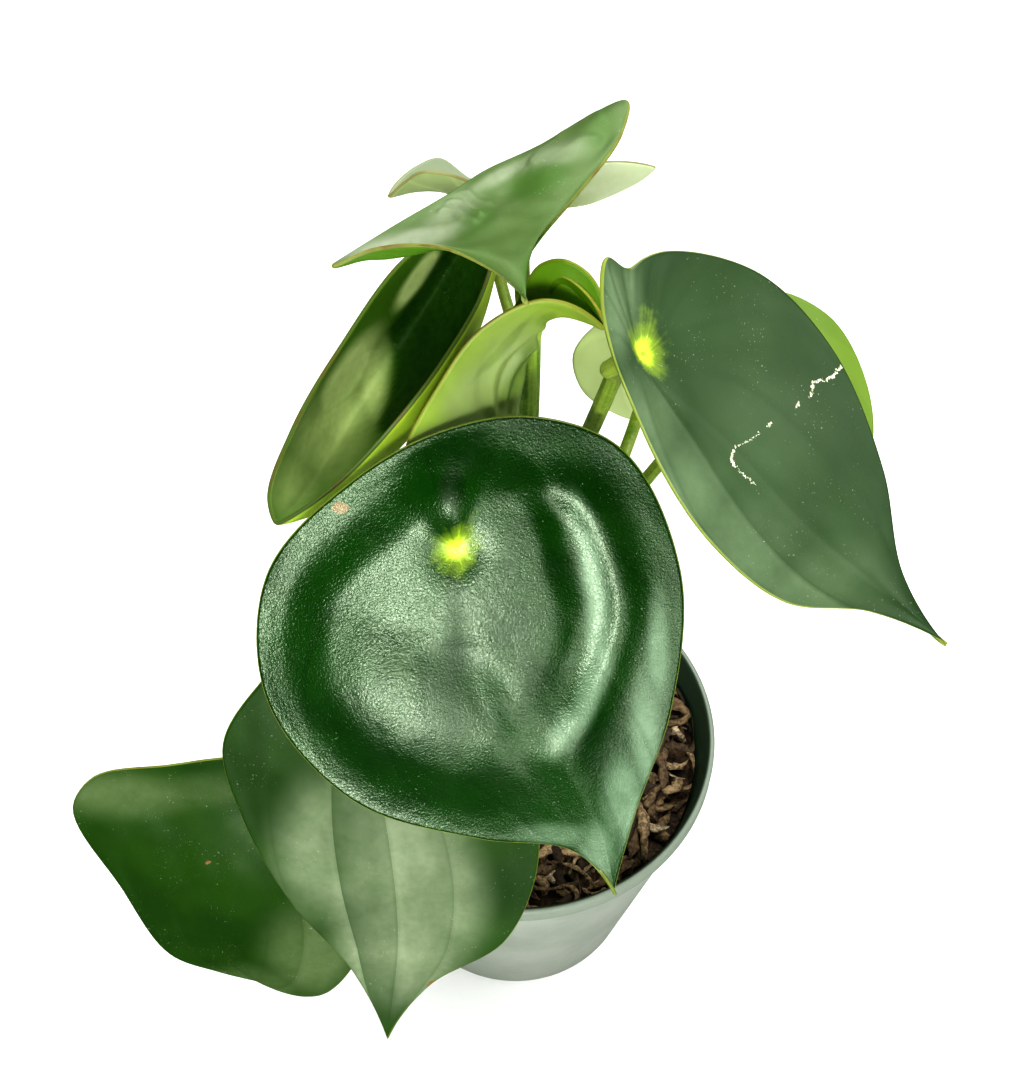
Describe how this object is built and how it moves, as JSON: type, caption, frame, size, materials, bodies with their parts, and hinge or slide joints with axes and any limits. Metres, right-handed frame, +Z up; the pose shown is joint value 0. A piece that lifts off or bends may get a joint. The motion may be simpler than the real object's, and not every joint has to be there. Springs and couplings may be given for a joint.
{
  "type": "potted peperomia",
  "caption": "House plant with glossy drop-shaped leaves, each held near its centre by a stalk, in a tapered round nursery pot filled with bark mix.",
  "frame": {"origin": "centre of the underside of the pot, on the surface that it stands on", "axes": "+Z up along the pot; -Y towards the side that the large front leaf faces; +X to the right of someone who looks at that side"},
  "size_m": [0.1725, 0.1428, 0.2535],
  "materials": {
    "pot": "satin",
    "soil": "matte",
    "stem": "satin",
    "stalk": "satin",
    "leaf": "gloss",
    "young_leaf": "satin",
    "pale_leaf": "satin"
  },
  "bodies": {
    "root": {"pot": "pot", "soil": "soil", "stem": "stem", "leaf_front": "leaf", "leaf_right": "leaf", "leaf_top": "leaf", "leaf_trough": "leaf", "leaf_young": "young_leaf", "leaf_low": "leaf", "leaf_far": "leaf", "leaf_back": "pale_leaf", "leaf_pale": "pale_leaf", "leaf_side": "young_leaf", "stalk_front": "stalk", "stalk_right": "stalk", "stalk_top": "stalk", "stalk_trough": "stalk", "stalk_young": "stalk", "stalk_low": "stalk", "stalk_far": "stalk", "stalk_back": "stalk", "stalk_pale": "stalk", "stalk_side": "stalk"}
  },
  "joints": []
}
